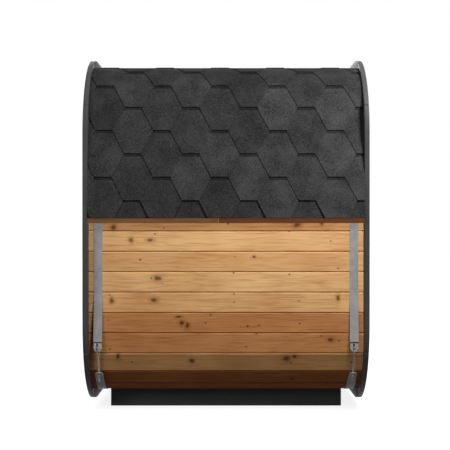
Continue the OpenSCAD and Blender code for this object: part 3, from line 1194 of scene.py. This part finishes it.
@dataclass
class Studio:
    """Pale floor and background, soft lamps and the camera."""

    camera_height: float = 1.098
    camera_distance: float = 6.990
    lens: float = 83.4
    shift: tuple[float, float] = (-1.01 / 450, 1.13 / 450)
    floor_size: float = 60.0
    key: bpy.types.Object | None = None
    roof_key: bpy.types.Object | None = None

    def camera(self) -> None:
        """Places the camera square to the near side."""
        data = bpy.data.cameras.new("camera")
        data.lens = self.lens
        data.shift_x, data.shift_y = self.shift
        camera = bpy.data.objects.new("camera", data)
        camera.location = (0, -self.camera_distance, self.camera_height)
        camera.rotation_euler = (math.pi / 2, 0, 0)
        bpy.context.scene.collection.objects.link(camera)
        bpy.context.scene.camera = camera

    def lamp(self, name: str, place: Vector, aim: Vector, size: float,
             watts: float) -> bpy.types.Object:
        """Adds a soft square lamp that points at a place."""
        data = bpy.data.lights.new(name, "AREA")
        data.size = size
        data.energy = watts
        lamp = bpy.data.objects.new(name, data)
        lamp.location = place
        lamp.rotation_euler = (aim - place).to_track_quat("-Z", "Y").to_euler()
        bpy.context.scene.collection.objects.link(lamp)
        return lamp

    @staticmethod
    def linked(name: str, pieces: Iterable[str], state: str) -> bpy.types.Collection:
        """Makes a collection of pieces that a lamp reaches or passes over.

        Args:
            name: the collection's name.
            pieces: names of the pieces.
            state: "INCLUDE" or "EXCLUDE".

        Returns:
            The collection.
        """
        group = bpy.data.collections.new(name)
        for piece in pieces:
            group.objects.link(bpy.data.objects[piece])
        for entry in group.collection_objects:
            entry.light_linking.link_state = state
        return group

    def aim_at_parts(self, roof: tuple[str, ...], eave: tuple[str, ...]) -> None:
        """Lights the roof with its own lamp, and keeps the eave's deep shadow off the wall.

        Args:
            roof: pieces that the roof lamp lights.
            eave: other pieces whose shadow the wall lamp leaves out.
        """
        self.key.light_linking.receiver_collection = self.linked("wall_lit", roof, "EXCLUDE")
        self.key.light_linking.blocker_collection = self.linked("wall_spared", roof + eave, "EXCLUDE")
        self.roof_key.light_linking.receiver_collection = self.linked("roof_lit", roof, "INCLUDE")

    def floor(self) -> None:
        """Adds the floor, white to the camera with the object's shadow, its glow dimmed near the object as
        painted shade, and dull to other light.
        """
        bm = bmesh.new()
        bmesh.ops.create_grid(bm, x_segments=1, y_segments=1, size=self.floor_size / 2)
        mesh = bpy.data.meshes.new("floor")
        bm.to_mesh(mesh)
        bm.free()
        tree = Tree("floor_white")
        path = tree.node("ShaderNodeLightPath")
        seen = Val(tree, path["Is Camera Ray"]).most(Val(tree, path["Is Glossy Ray"]))
        seen = seen.most(Val(tree, path["Is Transmission Ray"]))
        tree.put(tree.shader.inputs["Base Color"], tree.blend(seen, (0.03, 0.03, 0.03), (0.5, 0.5, 0.5)))
        tree.shader.inputs["Roughness"].default_value = 0.9
        away = Val(tree, tree.node("ShaderNodeVectorMath", {"operation": "LENGTH"}, (tree.place(),))["Value"])
        # The glow is dimmer near the object than far away: painted shade round the object's foot, so that its
        # shadow shows.
        glow_with_painted_shade = tree.node("ShaderNodeEmission", None, {"Strength": away.ramp(1.3, 3.2) * 0.16 + 0.84})
        both = tree.node("ShaderNodeAddShader", None, (tree.shader.outputs[0], glow_with_painted_shade[0]))
        mixed = tree.node("ShaderNodeMixShader", None, (seen, tree.shader.outputs[0], both[0]))
        tree.links.new(mixed[0], tree.nodes["Material Output"].inputs["Surface"])
        mesh.materials.append(tree.material)
        floor = bpy.data.objects.new("floor", mesh)
        bpy.context.scene.collection.objects.link(floor)

    def world(self) -> None:
        """Sets a white backdrop over a soft grey surrounding light."""
        world = bpy.data.worlds.new("studio")
        world.use_nodes = True
        nodes, links = world.node_tree.nodes, world.node_tree.links
        path = nodes.new("ShaderNodeLightPath")
        first = nodes.new("ShaderNodeMath")
        second = nodes.new("ShaderNodeMath")
        for node in (first, second):
            node.operation = "MAXIMUM"
        links.new(path.outputs["Is Camera Ray"], first.inputs[0])
        links.new(path.outputs["Is Transmission Ray"], first.inputs[1])
        links.new(first.outputs[0], second.inputs[0])
        links.new(path.outputs["Is Glossy Ray"], second.inputs[1])
        soft = nodes["Background"]
        soft.inputs["Color"].default_value = (1, 1, 1, 1)
        soft.inputs["Strength"].default_value = 0.04
        white = nodes.new("ShaderNodeBackground")
        white.inputs["Strength"].default_value = 1.0
        white.inputs["Color"].default_value = (1, 1, 1, 1)
        mix = nodes.new("ShaderNodeMixShader")
        links.new(second.outputs[0], mix.inputs[0])
        links.new(soft.outputs[0], mix.inputs[1])
        links.new(white.outputs[0], mix.inputs[2])
        links.new(mix.outputs[0], nodes["World Output"].inputs["Surface"])
        bpy.context.scene.world = world

    def build(self) -> None:
        """Builds the studio."""
        self.camera()
        self.floor()
        self.world()
        middle = Vector((0, 0, 1.1))
        self.key = self.lamp("key", Vector((1.35, -2.7, 3.7)), Vector((0, -0.9, 1.3)), 1.2, 161)
        self.roof_key = self.lamp("roof_key", Vector((2.3, -3.0, 2.95)), Vector((0, -0.9, 1.5)), 0.8, 190)
        self.lamp("fill", Vector((-4.0, -5.5, 3.4)), middle, 2.5, 150)
        self.lamp("back", Vector((-2.0, 5.0, 4.0)), middle, 3.0, 150)
        bpy.context.scene.view_settings.view_transform = "Standard"


def scattered_knots(staves: Staves) -> tuple[Knot, ...]:
    """Scatters large knots over the near wall by rule, one to four on each board.

    Args:
        staves: the boards, which give the joints and their pitch.

    Returns:
        The knots.
    """
    rng = random.Random(5)
    pitch = staves.section.girth / staves.boards
    knots = []
    for index in range(-1, 8):
        for _ in range(rng.randint(1, 4)):
            run = staves.first_joint + (index + rng.uniform(0.15, 0.85)) * pitch
            place, _ = staves.section.point(run)
            knots.append(Knot(rng.uniform(-0.69, 0.69), place.y, rng.uniform(0.008, 0.022),
                              rng.uniform(0.007, 0.017)))
    return tuple(knots)


def main() -> None:
    """Builds the sauna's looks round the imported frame."""
    logging.basicConfig(level=logging.INFO, format="%(name)s: %(message)s")
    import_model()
    studio = Studio()
    studio.build()
    section = Section()
    staves = Staves(section)
    stave_wood = BoardFinish("stave_softwood", knots=scattered_knots(staves)).make()
    wall_wood = BoardFinish("wall_softwood", upright=True).make()
    rail_wood = BoardFinish("rail_softwood").make()
    # The eave strip's dark brown is painted shade: the shade under the shingles' edge, put into the wood's
    # colour.
    painted_shade_brown = BoardFinish("stained_strip", (0.14, 0.052, 0.019), (0.10, 0.036, 0.013),
                        (0.07, 0.024, 0.008)).make()
    dark_wood = BoardFinish("dark_handle", (0.10, 0.05, 0.028), (0.07, 0.035, 0.02),
                            (0.045, 0.02, 0.012), upright=True, roughness=0.35).make()
    collar_paint = PaintFinish("collar_paint", (0.050, 0.050, 0.051), (0.064, 0.064, 0.066)).make()
    base_paint = PaintFinish("base_paint", (0.10, 0.10, 0.101), (0.13, 0.13, 0.132), 0.6, 0.9).make()
    # Black paint for the hinges and seals; the tighteners' painted shadows use it too.
    black = PaintFinish("black_coat", (0.012, 0.012, 0.012), (0.02, 0.02, 0.02), 0.4, 0.2).make()
    bitumen = GranuleFinish("charcoal_granules").make()
    steel = SteelFinish("strip_steel").make()
    staves.material = stave_wood
    staves.build()
    Shingles(RoofLine(section), bitumen).build()
    Collars(collar_paint).build()
    EndWalls(wall_wood).build()
    Door(wall_wood, rail_wood, dark_wood, GlassFinish("bronze_glass").make(), black, black).build()
    Eaves(painted_shade_brown, rail_wood).build()
    Straps(steel).build()
    for side in Side:
        for end in End:
            Tensioner(section, side, end, steel, black).build()
    Base(base_paint).build()
    studio.aim_at_parts(("near_shingles", "far_shingles", "ridge_caps", "roof_felt"),
                        ("near_eave_strip", "near_packer", "front_collar_near_board",
                         "rear_collar_near_board"))


if __name__ == "__main__":
    main()
